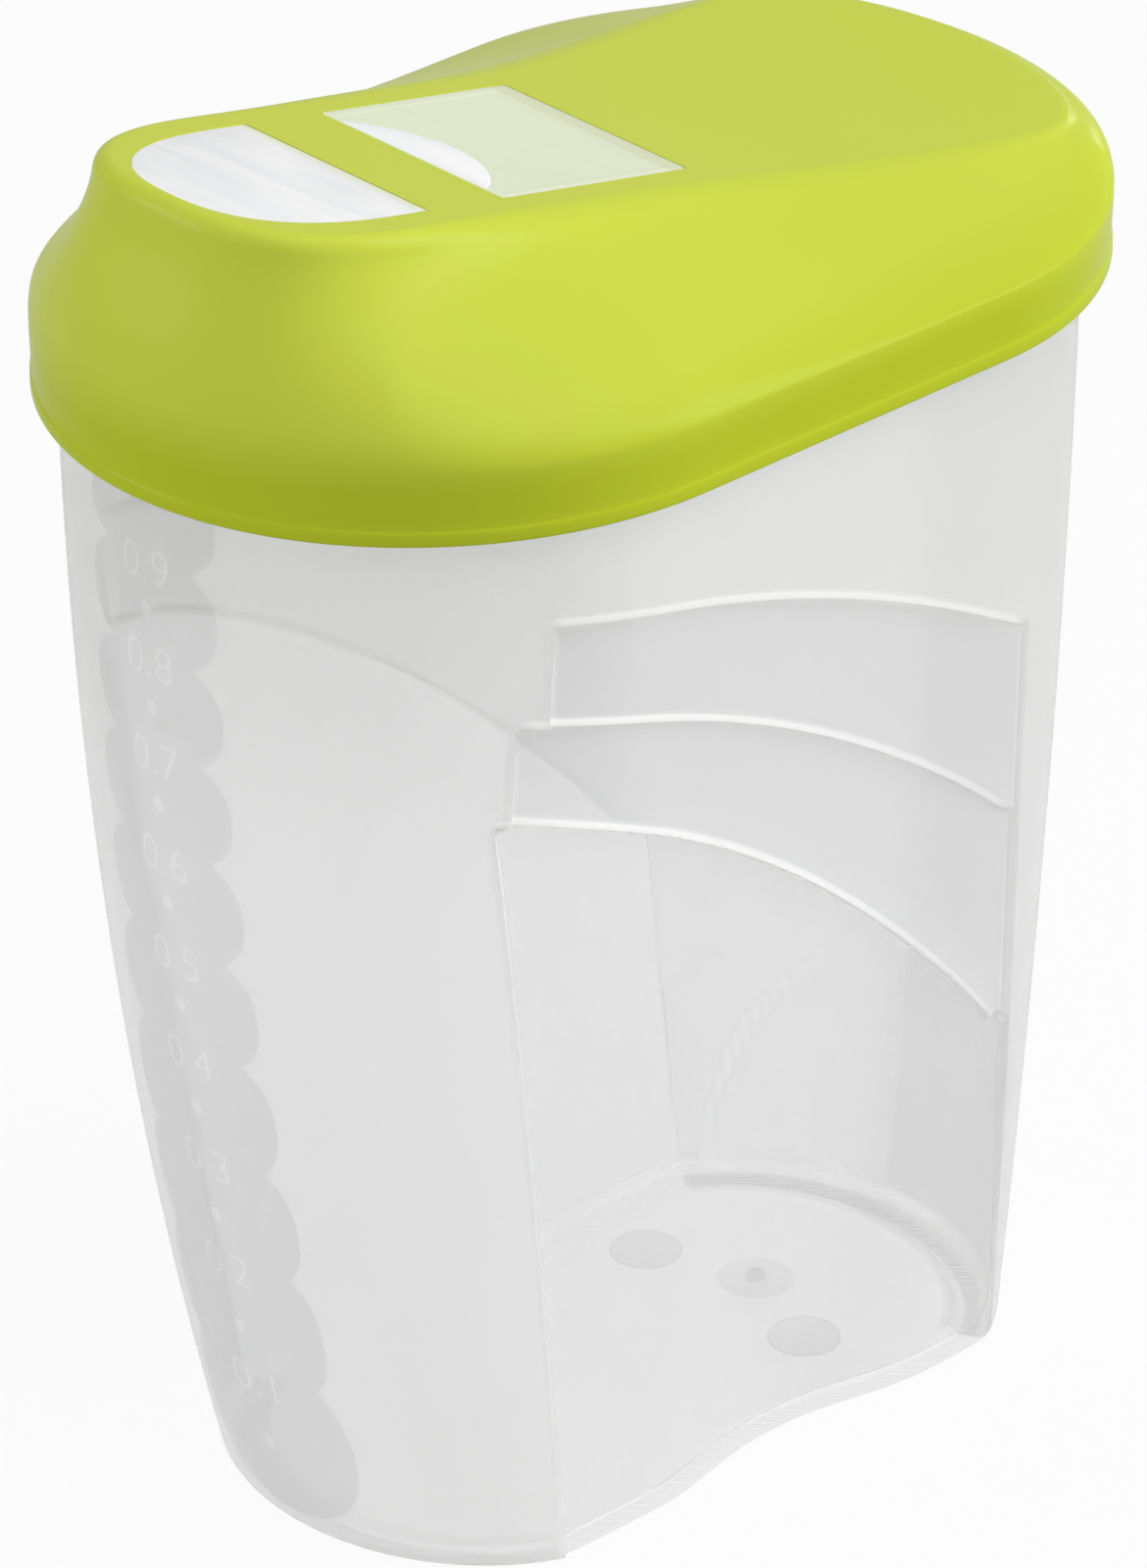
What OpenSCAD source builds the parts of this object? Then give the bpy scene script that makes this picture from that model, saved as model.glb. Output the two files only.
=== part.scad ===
// Cereal container with flip spout: a translucent body with a three-step grip, a push-on lid whose
// wedge-shaped deck rises to the pouring window, and a rocking flap that shows through both of
// the deck's windows.
// Frame: +Z up, X across, Y along. The spout is at -Y. The origin is the bottom centre.

/* [Container] */
// Height of the container's rim above the table
rim_h = 153.8; // [152.8:0.2:154]
// Height at which the walls stop flaring and the hidden rim begins
neck_h = 147.8; // [147:0.2:148.4]
// Half width at the neck
neck_half_w = 41.9; // [41.5:0.1:42.2]
// Half width at the base
base_half_w = 30.7; // [30:0.1:31.4]
// How far each side wall bows in between base and neck
side_hollow = 0.9; // [0.5:0.1:1.2]
// Reach of the front wall from the middle, at the base and at the neck
front_reach = [46.2, 66.5];
// Reach of the rear wall from the middle, at the base and at the neck
rear_reach = [59.1, 66.5];
// How far the front wall bows out between base and neck
front_bow = 5.4; // [4.6:0.1:6.2]
// How far the rear wall bows out between base and neck
rear_bow = 2.6; // [1.8:0.1:3.4]
// Length of the rounded front end, at the base and at the neck
front_round = [27.4, 45];
// Length of the rounded rear end, at the base and at the neck
rear_round = [25.8, 42.4];
// Wall thickness
wall = 1.3; // [1.1:0.1:1.5]
// Floor thickness above the raised middle of the underside
floor_t = 1.5; // [1.2:0.1:2]
// How far the rim's outer flange stands proud
flange = 0.5; // [0.3:0.1:0.5]

/* [Grip recess] */
// Depth of each of the three steps
step_depth = 0.7; // [0.4:0.1:1]
// Height of each step's upper edge at its front corner, from the outer step to the inner one
step_top = [134.2, 121.5, 108.6];
// Distance of each step's front edge from the middle
step_front = [38.5, 42.2, 43.8];
// How much the innermost front edge leans back per millimetre of height
front_edge_lean = 0.1435; // [0.13:0.001:0.15]
// Start slope of each step's upper edge, falling to the rear
step_slope = [0.133, 0.187, 0.252];
// Rate at which each upper edge steepens
step_curl = [0.0031, 0.0041, 0.0055];
// Distance of the rear edge from the middle at the table
rear_edge = 44.6; // [43:0.1:46]
// How much the rear edge leans forward per millimetre of height
rear_edge_lean = 0.05; // [0.03:0.01:0.06]
// Centre of the thumb dent along the container
dent_y = 10.4; // [9:0.1:12]
// Half width of the thumb dent
dent_half_w = 17.6; // [16.6:0.1:18.6]
// Height of the dent's arch
dent_h = 70; // [60:1:76]
// Depth of the dent at the table
dent_depth = 2.7; // [2:0.1:3]

/* [Lid] */
// Half width of the skirt
lid_half_w = 45.1; // [44.9:0.1:45.6]
// Half length of the skirt
lid_half_l = 69.5; // [69.3:0.1:70]
// Length of the lid's rounded ends, front and rear
lid_round = [48, 43.3];
// Height of the skirt's lower edge
skirt_z = 147.8; // [147:0.1:148]
// Height at which the skirt turns over into the shoulder
skirt_top_z = 156.6; // [156:0.1:157]
// Thickness of the lid
lid_t = 1.6; // [1.4:0.1:1.8]
// Pitch of the deck, rising to the front
deck_tilt = 11.4; // [10.8:0.1:12]
// Height of the deck at the bar
bar_z = 176.6; // [175.8:0.1:177.4]
// How far the deck levels out above its own slope at the rear rim
rear_lift = 4.2; // [3.6:0.1:4.8]
// Distance of the bar and of the rocker's axis in front of the middle
bar_y = 31.1; // [30.6:0.1:31.6]
// Half width of the deck's tongue beside the windows
tongue_half_w = 20.6; // [20:0.1:21]
// Widening of the tongue per millimetre behind the windows
tongue_flare = 0.15; // [0.1:0.01:0.18]
// Length of the deck's rounded nose
nose_len = 24; // [23:0.5:26]

/* [Windows] */
// Half width of both windows
window_half_w = 15.4; // [14.8:0.1:15.6]
// Half width of the bar between the windows
bar_half = 5.8; // [5.6:0.1:6]
// Reach of the pouring window from the bar's middle
pour_reach = 31.4; // [30.6:0.1:31.6]
// Reach of the press window from the bar's middle
press_reach = 35.2; // [34:0.1:36]
// Width of the ledge that the front leaf rests over
ledge_w = 1.3; // [0.8:0.1:1.6]

/* [Flap] */
// Depth of the rocker's axis below the deck
axis_drop = 3.5; // [3.4:0.05:3.6]
// Radius of the trunnions
trunnion_r = 1.1; // [1:0.05:1.2]
// Radial clearance of the trunnions in their cheeks
trunnion_gap = 0.06; // [0.03:0.01:0.09]
// Thickness of both leaves
leaf_t = 1.2; // [1:0.1:1.3]
// Depth of both leaves' faces below the deck
leaf_sink = 0.3; // [0.2:0.05:0.35]
// Gap between the flap and the lid
gap = 0.3; // [0.3:0.01:0.35]
// Reach of the half-moon thumb pad behind the bar's middle, and its radius
thumb_pad = [13, 14.7];

/* [Hidden] */
$fn = 64;

deck_slope = tan(deck_tilt);
ledge = 1.1;            // height over which one grip step gives way to the next
foot_h = 0.7;           // how far the middle of the underside is raised
base_r = 1.5;           // radius along the bottom edge
curl_skirt = 0.5;       // radius along the skirt's lower edge
edge_round = 2.3;       // width of the rounding along the deck's edge
deck_inset = [5.2, 4];  // distance of the deck's edge from the skirt, front and rear
nose_power = 2.7;       // fullness of the deck's nose
window_power = 2.5;     // fullness of the pouring window's round end
barrel_r = 1.5;         // radius of the rocker's barrel
cheek = [17.3, 19.5];   // inner and outer face of the bearing cheeks
seat_z = -1.9;          // upper face of the seat below the deck
lift_edge = -6.5;       // rear edge of the front leaf's face, from the bar's middle
lift_slant = 23;        // undercut of that edge, so that it clears the bar as the leaf lifts
arm_half_w = 13.4;      // half width of the arms below the bar
arm_t = 1.2;            // thickness of the arms

function lerp(a, b, f) = a + (b - a) * f;
function clamp(v, lo, hi) = max(lo, min(hi, v));
function hump(t) = 4 * t * (1 - t);
function soft(v) = let (c = clamp(v, 0, 1)) c * c * (3 - 2 * c);

// ---- tube of rings: each ring is a list of points that runs clockwise seen from above ----
function tube_faces(rings, cols) = concat(
    [[for (i = [cols - 1:-1:0]) i]],
    [for (j = [0:rings - 2], i = [0:cols - 1])
        let (k = (i + 1) % cols, a = j * cols, b = (j + 1) * cols)
        each [[a + k, b + k, b + i], [a + k, b + i, a + i]]],
    [[for (i = [0:cols - 1]) (rings - 1) * cols + i]]
);

function mirror_ring(half) =
    concat(half, [for (i = [len(half) - 2:-1:1]) [-half[i][0], half[i][1], half[i][2]]]);

module tube(rings) {
    cols = len(rings[0]);
    polyhedron(points = [for (ring = rings) each ring], faces = tube_faces(len(rings), cols), convexity = 8);
}

// ---- container outline: t is 0 at the base and 1 at the neck ----
function wall_t(z) = clamp(z / neck_h, 0, 1);
function half_w(t) = lerp(base_half_w, neck_half_w, t) - side_hollow * hump(t);
function front_y(t) = -lerp(front_reach[0], front_reach[1], t) - front_bow * hump(t);
function rear_y(t) = lerp(rear_reach[0], rear_reach[1], t) + rear_bow * hump(t);
function front_len(t) = lerp(front_round[0], front_round[1], t);
function rear_len(t) = lerp(rear_round[0], rear_round[1], t);
function front_mid(t) = front_y(t) + front_len(t);
function rear_mid(t) = rear_y(t) - rear_len(t);

// Point of the outline with a given y, with its outward direction
function side_point(y, t) =
    let (a = front_mid(t), b = rear_mid(t), w = half_w(t))
    let (off = y < a ? (y - a) / front_len(t) : y > b ? (y - b) / rear_len(t) : 0)
    let (stretch = y < a ? front_len(t) : rear_len(t), x = w * sqrt(max(0, 1 - off * off)))
    let (n = [x / w / w, off / stretch])
    [x, y, n / norm(n)];

// Point on a rounded end, where the angle runs from -90 at the front to 90 at the rear
function end_point(angle, t) =
    let (rear = angle > 0, stretch = rear ? rear_len(t) : front_len(t), w = half_w(t))
    let (n = [cos(angle) / w, sin(angle) / stretch])
    [w * cos(angle), (rear ? rear_mid(t) : front_mid(t)) + stretch * sin(angle), n / norm(n)];

function front_angle(y, t) = asin(clamp((y - front_mid(t)) / front_len(t), -1, 0));
function rear_angle(y, t) = asin(clamp((y - rear_mid(t)) / rear_len(t), 0, 1));

// ---- grip recess ----
function step_front_y(k, z) =
    k < 2 ? -step_front[k] : -step_front[2] + front_edge_lean * max(0, step_top[2] - z);
function rear_edge_y(z) = rear_edge - rear_edge_lean * z;
// Height of the upper edge of step k at y
function step_edge(k, y) =
    let (run = clamp(y, -step_front[k], rear_edge - rear_edge_lean * step_top[k]) + step_front[k])
    step_top[k] - step_slope[k] * run - step_curl[k] * run * run;
// Depth of one step where the outline has turned in by turn: the panel flattens towards the table
function recess_depth(turn, t) = max(0, step_depth - turn * 0.27 * clamp(1 - t / 0.73, 0, 1));
// Depth of the thumb dent
function dent(y, z) =
    let (u = abs(y - dent_y) / dent_half_w, arch = dent_h - dent_half_w * (1 - sqrt(max(0, 1 - u * u))))
    let (depth = dent_depth * (1 - z / dent_h * 0.8))
    (u >= 1 || z >= arch) ? 0 : depth * soft((1 - u) * 2.2) * soft((arch - z) / 6);

// Zone heights from the top: neck, the three upper edges, and the top of the base radius
function zone_z(k, y) = k == 0 ? neck_h : k == 4 ? base_r + 0.4 : step_edge(k - 1, y);

// A level is [zone below, zone above, place between them, offset, steps cut away]
LEVELS = concat(
    [for (i = [0:6]) [4, 3, i / 6, i == 6 ? -ledge / 2 : 0, 3]],
    [for (i = [0:2]) [3, 2, i / 2, (i == 0 ? 1 : i == 2 ? -1 : 0) * ledge / 2, 2]],
    [for (i = [0:2]) [2, 1, i / 2, (i == 0 ? 1 : i == 2 ? -1 : 0) * ledge / 2, 1]],
    [for (i = [0:3]) [1, 0, i / 3, i == 0 ? ledge / 2 : 0, 0]]
);
PANEL_COLS = 18;
REAR_COLS = 7;
FRONT_COLS = 9;

// Height of a level at y
function level_z(level, y) = lerp(zone_z(level[0], y), zone_z(level[1], y), level[2]) + level[3];

// One outline point: column i, level, inset from the outer face, height given or from the level
function wall_point(i, level, inset, fixed_z, lip) =
    let (step = max(level[4] - 1, 0), flat_ring = fixed_z >= 0)
    let (z_front = flat_ring ? fixed_z : level_z(level, -step_front[1]))
    let (z_rear = flat_ring ? fixed_z : level_z(level, rear_edge - 4))
    let (y_front = step_front_y(step, z_front), y_rear = rear_edge_y(z_rear))
    let (first_panel = REAR_COLS + 1, last_panel = first_panel + PANEL_COLS)
    let (in_panel = i >= first_panel && i <= last_panel)
    let (y_side = lerp(y_rear - 0.5, y_front + 0.5, (i - first_panel) / PANEL_COLS))
    let (z = in_panel && !flat_ring ? level_z(level, y_side) : i < first_panel ? z_rear : z_front)
    let (t = wall_t(z))
    let (p = in_panel ? side_point(y_side, t)
           : i < first_panel ? end_point(lerp(90, rear_angle(y_rear + 0.5, t), i / REAR_COLS), t)
           : end_point(lerp(front_angle(y_front - 0.5, t), -90, (i - last_panel - 1) / FRONT_COLS), t))
    let (cut = in_panel ? level[4] * recess_depth(half_w(t) - p[0], t) + dent(y_side, z) : 0)
    let (q = [p[0], p[1]] - p[2] * (inset + cut - lip))
    [max(q[0], 0), q[1], z];

HALF_COLS = REAR_COLS + 1 + PANEL_COLS + 1 + FRONT_COLS;
function wall_ring(level, inset, fixed_z = -1, lip = 0) =
    mirror_ring([for (i = [0:HALF_COLS]) wall_point(i, level, inset, fixed_z, lip)]);

BOTTOM = [4, 4, 0, 0, 3];
TOP = [0, 0, 0, 0, 0];

module container() {
    floor_z = foot_h + floor_t;
    // underside and bottom edge, each ring as [inset, height]
    foot = [[base_r + 3.4, foot_h], [base_r + 2.6, 0], [base_r * 0.75, 0], [base_r * 0.25, base_r * 0.3]];
    // hidden rim under the lid, each ring as [height, outward offset]
    rim = [[neck_h + 2.6, 0], [neck_h + 3, flange], [rim_h - 0.4, flange], [rim_h, flange - 0.3]];
    // inner corner between wall and floor, each ring as [inset beyond the wall, height above the floor]
    corner = [[0, base_r], [base_r * 0.3, base_r * 0.3], [base_r, 0]];
    outside = concat(
        [for (ring = foot) wall_ring(BOTTOM, ring[0], ring[1])],
        [for (level = LEVELS) wall_ring(level, 0)],
        [for (ring = rim) wall_ring(TOP, 0, ring[0], ring[1])]
    );
    inside = concat(
        [wall_ring(TOP, wall, rim_h)],
        [for (j = [len(LEVELS) - 1:-1:1]) wall_ring(LEVELS[j], wall)],
        [for (ring = corner) wall_ring(BOTTOM, wall + ring[0], floor_z + ring[1])]
    );
    color([0.92, 0.93, 0.93, 0.75]) tube(concat(outside, inside));
}

// ---- lid outline: a column is [middle of the fan, angle], and its points lie on that ray ----
lid_mid = [-lid_half_l + lid_round[0], lid_half_l - lid_round[1]];
LID_FAN = concat(
    [for (i = [0:9]) [lid_mid[1], 90 - 90 * i / 10]],
    [for (i = [0:6]) [lerp(lid_mid[1], lid_mid[0], i / 6), 0]],
    [for (i = [1:16]) [lid_mid[0], -90 * i / 16]]
);

// Distance from the fan's middle to the skirt, inset by in
function skirt_reach(angle, in) =
    let (stretch = lid_round[angle > 0 ? 1 : 0] - in)
    1 / norm([cos(angle) / (lid_half_w - in), sin(angle) / stretch]);

function power_mean(a, b, n) = pow(pow(a, n) + pow(b, n), 1 / n);

// Size of a point against the deck's outline inset by in: 1 on the outline, less inside it
function deck_gauge(x, y, in) =
    let (nose_y = nose_len + deck_inset[0] - lid_half_l)
    let (half = tongue_half_w + tongue_flare * (norm([y - 5, 8]) + y - 5) / 2 - in)
    let (ahead = max(0, nose_y - y) / (nose_len - in))
    let (tongue = power_mean(abs(x) / half, ahead, nose_power))
    let (past = max(0, y - lid_mid[1]) / (lid_round[1] - deck_inset[1] - in))
    let (rim = norm([x / (lid_half_w - deck_inset[1] - in), past]))
    power_mean(tongue, y > lid_mid[1] ? rim : 0, 10);

// Distance from the fan's middle to the deck's outline, found by halving
function deck_reach(fan, in, lo = 1, hi = 60, n = 22) =
    let (r = (lo + hi) / 2, g = deck_gauge(r * cos(fan[1]), fan[0] + r * sin(fan[1]), in))
    n == 0 ? r : g > 1 ? deck_reach(fan, in, lo, r, n - 1) : deck_reach(fan, in, r, hi, n - 1);

function deck_z(y) = bar_z - (y + bar_y) * deck_slope + rear_lift * pow(max(0, y - 3) / 62, 2);
function on_ray(fan, r, z) = [max(0, r * cos(fan[1])), fan[0] + r * sin(fan[1]), z];

// Shoulder from the skirt's top (f = 0) to the deck's edge (f = 1), then over the rounded edge (f = 2)
function shoulder_point(fan, f, in, drop) =
    let (r0 = skirt_reach(fan[1], in), r1 = deck_reach(fan, in))
    let (z0 = skirt_top_z - drop * 0.7, z1 = deck_z(on_ray(fan, r1, 0)[1]) - drop)
    let (run = r0 - r1, rise = z1 - z0, steep = clamp(rise / run - 0.48, 0, 1))
    let (lift = min(1.2 + 10.2 * steep, rise * 0.8))
    let (back = run * 0.24 * (1 - steep), down = rise * (0.26 + 0.03 * steep))
    let (g = f > 1 ? 0.88 : f * 0.88, h = 1 - g)
    let (along = 3 * h * g * g * (run - back) + g * g * g * run)
    let (up = 3 * h * h * g * lift + 3 * h * g * g * (rise - down) + g * g * g * rise)
    let (r2 = r1 - edge_round, z2 = deck_z(on_ray(fan, r2, 0)[1]) - drop)
    let (e = max(0, f - 1), e0 = (1 - e) * (1 - e), e1 = 2 * e * (1 - e), e2 = e * e)
    on_ray(fan, e0 * (r0 - along) + e1 * r1 + e2 * r2, e0 * (z0 + up) + e1 * z1 + e2 * z2);

function shoulder_ring(f, in = 0, drop = 0) =
    mirror_ring([for (fan = LID_FAN) shoulder_point(fan, f, in, drop)]);
function skirt_ring(z, in) =
    mirror_ring([for (fan = LID_FAN) on_ray(fan, skirt_reach(fan[1], in), z)]);

module in_deck_frame() {
    translate([0, -bar_y, bar_z]) rotate([-deck_tilt, 0, 0]) children();
}

// Outline of the pouring window, grown by grow all round
module pour_outline(grow) {
    half = window_half_w + grow;
    start = bar_half + 4;
    reach = pour_reach - start + grow;
    round_end = [for (a = [0:6:180])
        let (c = cos(a), s = sin(a))
        [half * sign(c) * pow(abs(c), 2 / window_power), -start - reach * pow(abs(s), 2 / window_power)]];
    polygon(concat(round_end, [[-half, -bar_half + grow], [half, -bar_half + grow]]));
}

module lid_shell() {
    deck_drop = lid_t / cos(deck_tilt);
    // snap bead inside the skirt, each ring as [height, inset]
    bead = [[2.4, lid_t], [1.8, lid_t + 0.4], [1.2, lid_t], [0, lid_t - 0.2]];
    inside = concat(
        [for (f = [2, 1.5, 1, 0.75, 0.5, 0.25, 0]) shoulder_ring(f, lid_t, deck_drop)],
        [for (ring = bead) skirt_ring(skirt_z + ring[0], ring[1])]
    );
    outside = concat(
        [skirt_ring(skirt_z, curl_skirt), skirt_ring(skirt_z + curl_skirt, 0)],
        [for (f = [0, 0.12, 0.25, 0.4, 0.55, 0.7, 0.85, 1, 1.5, 2]) shoulder_ring(f)]
    );
    tube(concat(inside, outside));
}

module lid() {
    color([0.76, 0.84, 0.27]) difference() {
        union() {
            lid_shell();
            in_deck_frame() {
                // seat under the pouring window
                translate([0, 0, -lid_t - 2]) linear_extrude(2.2) difference() {
                    pour_outline(1.4);
                    pour_outline(-ledge_w);
                    translate([-window_half_w - 4, -bar_half - 4]) square([2 * window_half_w + 8, 8]);
                }
                // bearing cheeks
                for (side = [-1, 1])
                    translate([side * (cheek[0] + cheek[1]) / 2, 0, -axis_drop / 2 - 1.5])
                        cube([cheek[1] - cheek[0], 8, axis_drop + 1.6], center = true);
            }
        }
        in_deck_frame() {
            translate([0, 0, seat_z]) linear_extrude(6) pour_outline(0);
            translate([-window_half_w, bar_half, seat_z])
                cube([2 * window_half_w, press_reach - bar_half, 6]);
            translate([0, 0, -axis_drop]) rotate([0, 90, 0])
                cylinder(r = trunnion_r + trunnion_gap, h = 2 * cheek[1] - 0.8, center = true);
        }
    }
}

// Plate across the flap, between two distances s from the bar's middle and two heights n above the deck
module cross_plate(half, s, n) {
    translate([-half, s[0], n[0]]) cube([2 * half, s[1] - s[0], n[1] - n[0]]);
}

module flap() {
    face = -leaf_sink;
    arm_z = -axis_drop - 3;
    link_z = -lid_t - gap - arm_t;
    rear_start = bar_half + gap;
    pad_mid = thumb_pad[0] - thumb_pad[1];
    color([0.95, 0.96, 0.95, 0.85]) in_deck_frame() {
        // front leaf
        difference() {
            translate([0, 0, face - leaf_t]) linear_extrude(leaf_t) pour_outline(-gap);
            translate([-window_half_w - 4, lift_edge, face]) rotate([-lift_slant, 0, 0])
                translate([0, 0, -5]) cube([2 * window_half_w + 8, 12, 10]);
        }
        // arm from the front leaf, which dips so that the bar has room as it lifts
        cross_plate(arm_half_w, [-8.6, -7.4], [arm_z, face - 0.3]);
        cross_plate(arm_half_w, [-8.6, 0.6], [arm_z, arm_z + arm_t]);
        cross_plate(arm_half_w, [-0.6, 0.6], [arm_z, -axis_drop]);
        // barrel and trunnions
        translate([0, 0, -axis_drop]) rotate([0, 90, 0]) {
            cylinder(r = barrel_r, h = 2 * (cheek[0] - 0.4), center = true);
            cylinder(r = trunnion_r, h = 2 * (cheek[1] - 0.6), center = true);
        }
        // rear leaf, which fills the press window, and its link under the bar
        cross_plate(window_half_w - gap, [rear_start, press_reach - gap - 0.15], [face - leaf_t, face]);
        cross_plate(arm_half_w, [0, rear_start + 1.8], [link_z, link_z + arm_t]);
        cross_plate(arm_half_w, [rear_start + 0.6, rear_start + 1.8], [link_z, face - 0.3]);
        // half-moon thumb pad
        translate([0, 0, face - 0.3]) linear_extrude(leaf_sink + 0.3) intersection() {
            translate([0, pad_mid]) circle(r = thumb_pad[1]);
            translate([-window_half_w, rear_start]) square([2 * window_half_w, 12]);
        }
    }
}

container();
lid();
flap();
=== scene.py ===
import math

import bmesh
import bpy
import numpy as np
from mathutils import Matrix, Vector
from mathutils.geometry import delaunay_2d_cdt


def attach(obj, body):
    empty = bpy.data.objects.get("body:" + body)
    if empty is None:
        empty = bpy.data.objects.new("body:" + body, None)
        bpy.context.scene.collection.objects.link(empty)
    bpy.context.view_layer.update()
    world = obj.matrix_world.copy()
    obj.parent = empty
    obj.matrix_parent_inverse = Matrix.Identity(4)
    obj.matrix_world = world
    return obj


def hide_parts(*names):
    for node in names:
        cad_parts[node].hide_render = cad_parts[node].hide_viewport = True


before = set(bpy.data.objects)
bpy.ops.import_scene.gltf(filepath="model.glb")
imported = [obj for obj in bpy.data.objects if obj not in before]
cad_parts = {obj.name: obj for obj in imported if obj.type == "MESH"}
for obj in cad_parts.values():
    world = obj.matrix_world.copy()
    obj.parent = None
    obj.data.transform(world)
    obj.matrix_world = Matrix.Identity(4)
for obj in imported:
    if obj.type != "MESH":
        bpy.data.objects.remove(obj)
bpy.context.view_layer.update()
scene = bpy.context.scene
scene.view_settings.view_transform = "Standard"

# ------------------------------------------------ camera, at the photograph's angle
AZIMUTH, ELEVATION, DISTANCE = math.radians(46.7), math.radians(29.0), 1.3066
TARGET = Vector((0, 0, 0.08407))
IMAGE_HEIGHT, FOCAL_PIXELS, SENSOR_HEIGHT = 1600, 11212, 24
back = Vector((math.sin(AZIMUTH) * math.cos(ELEVATION),
               -math.cos(AZIMUTH) * math.cos(ELEVATION),
               math.sin(ELEVATION)))
right = Vector((math.cos(AZIMUTH), math.sin(AZIMUTH), 0))
camera = bpy.data.objects.new("camera", bpy.data.cameras.new("camera"))
scene.collection.objects.link(camera)
camera.data.sensor_fit = "VERTICAL"
camera.data.sensor_height = SENSOR_HEIGHT
camera.data.lens = FOCAL_PIXELS / IMAGE_HEIGHT * SENSOR_HEIGHT
camera.data.clip_end = 50
turn = Matrix((right, back.cross(right), back)).transposed().to_4x4()
camera.matrix_world = Matrix.Translation(TARGET + back * DISTANCE) @ turn
scene.camera = camera

# ------------------------------------------------ mesh helpers (all shapes in millimetres)
SHARP_DEGREES, MERGE_METRES = 38, 1e-6


class Shell:
    """Vertices, faces and point values of one piece."""

    def __init__(self):
        self.v, self.f, self.n, self.values = [], [], 0, {}

    def points(self, p, **values):
        p = np.asarray(p, float).reshape(-1, 3)
        start = self.n
        self.v.append(p)
        self.n += len(p)
        for key, value in values.items():
            self.values.setdefault(key, []).append((start, np.asarray(value, float).ravel()))
        return start

    def rings(self, rings, first=False, last=False, **values):
        """A skin over closed rings with the same count. first and last fill the end rings."""
        rings = np.asarray(rings, float)
        rows, cols = rings.shape[:2]
        s = self.points(rings, **values)
        for j in range(rows - 1):
            low, high = s + j * cols, s + (j + 1) * cols
            for i in range(cols):
                k = (i + 1) % cols
                self.f.append((low + i, low + k, high + k, high + i))
        if first:
            self.f.append(tuple(s + i for i in range(cols)))
        if last:
            self.f.append(tuple(s + (rows - 1) * cols + i for i in range(cols)))

    def build(self, name, body, material, node=None):
        mesh = bpy.data.meshes.new(name)
        mesh.from_pydata((np.concatenate(self.v) / 1000).tolist(), [], self.f)
        for key, parts in self.values.items():
            data = np.zeros(self.n, np.float32)
            for start, value in parts:
                data[start:start + len(value)] = value
            mesh.attributes.new(key, "FLOAT", "POINT").data.foreach_set("value", data)
        bm = bmesh.new()
        bm.from_mesh(mesh)
        bmesh.ops.remove_doubles(bm, verts=bm.verts, dist=MERGE_METRES)
        bmesh.ops.dissolve_degenerate(bm, edges=bm.edges, dist=MERGE_METRES)
        bmesh.ops.recalc_face_normals(bm, faces=bm.faces)
        bm.to_mesh(mesh)
        bm.free()
        mesh.shade_smooth()
        mesh.set_sharp_from_angle(angle=math.radians(SHARP_DEGREES))
        obj = bpy.data.objects.new(name, mesh)
        scene.collection.objects.link(obj)
        mesh.materials.append(material)
        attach(obj, body)
        if node:
            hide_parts(node)


def lerp(a, b, f):
    return a + (b - a) * f


def soft(v):
    c = np.clip(v, 0, 1)
    return c * c * (3 - 2 * c)


def power_mean(a, b, n):
    return (a ** n + b ** n) ** (1 / n)


def mirrored(half):
    """Full rings from right halves that start and end on the middle plane, as x, y, z."""
    return np.concatenate([half, half[:, -2:0:-1] * [-1, 1, 1]], axis=1)


def mirrored_value(half):
    return np.concatenate([half, half[:, -2:0:-1]], axis=1)


def circle(step):
    """Angles all round, step degrees apart."""
    return np.radians(np.arange(0, 360, step))


# ------------------------------------------------ procedural materials
PLASTIC_IOR = 1.49


def new_material(name):
    material = bpy.data.materials.new(name)
    material.use_nodes = True
    nodes, links = material.node_tree.nodes, material.node_tree.links
    shader = nodes["Principled BSDF"]
    return material, nodes, links, shader


def link_value(links, source, socket):
    if isinstance(source, (int, float)):
        socket.default_value = source
    else:
        links.new(source, socket)


def calc(nodes, links, kind, a, b=0.0, c=0.0, clamp=False):
    n = nodes.new("ShaderNodeMath")
    n.operation, n.use_clamp = kind, clamp
    for socket, source in zip(n.inputs, (a, b, c)):
        link_value(links, source, socket)
    return n.outputs[0]


def mix_colour(nodes, links, factor, a, b):
    n = nodes.new("ShaderNodeMix")
    n.data_type = "RGBA"
    link_value(links, factor, n.inputs["Factor"])
    for socket, source in zip([i for i in n.inputs if i.type == "RGBA"], (a, b)):
        if isinstance(source, tuple):
            socket.default_value = (*source, 1)
        else:
            links.new(source, socket)
    return next(o for o in n.outputs if o.type == "RGBA")


def noise(nodes, links, coords, scale, detail=2.0, roughness=0.5, distortion=0.0):
    n = nodes.new("ShaderNodeTexNoise")
    n.inputs["Scale"].default_value = scale
    n.inputs["Detail"].default_value = detail
    n.inputs["Roughness"].default_value = roughness
    n.inputs["Distortion"].default_value = distortion
    links.new(coords, n.inputs["Vector"])
    return n.outputs["Fac"]


def bump(nodes, links, height, strength, distance, shader):
    n = nodes.new("ShaderNodeBump")
    n.inputs["Strength"].default_value = strength
    n.inputs["Distance"].default_value = distance
    links.new(height, n.inputs["Height"])
    links.new(n.outputs["Normal"], shader.inputs["Normal"])


def linear(r, g, b):
    return tuple(((c / 255 + 0.055) / 1.055) ** 2.4 for c in (r, g, b))


def attribute(nodes, name):
    n = nodes.new("ShaderNodeAttribute")
    n.attribute_name = name
    return n.outputs["Fac"]


def object_place(nodes, links):
    """The object's own coordinates in metres, and the same split into x, y and z."""
    coords = nodes.new("ShaderNodeTexCoord").outputs["Object"]
    split = nodes.new("ShaderNodeSeparateXYZ")
    links.new(coords, split.inputs[0])
    return coords, split.outputs


# The point value clear is 0 on frosted wall and at most OUTER_CLEAR on the outer face of a
# polished panel. Inner faces are clear throughout, so that only the outer face shows edges.
OUTER_CLEAR, SHADED_BELOW = 0.97, 0.985


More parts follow.
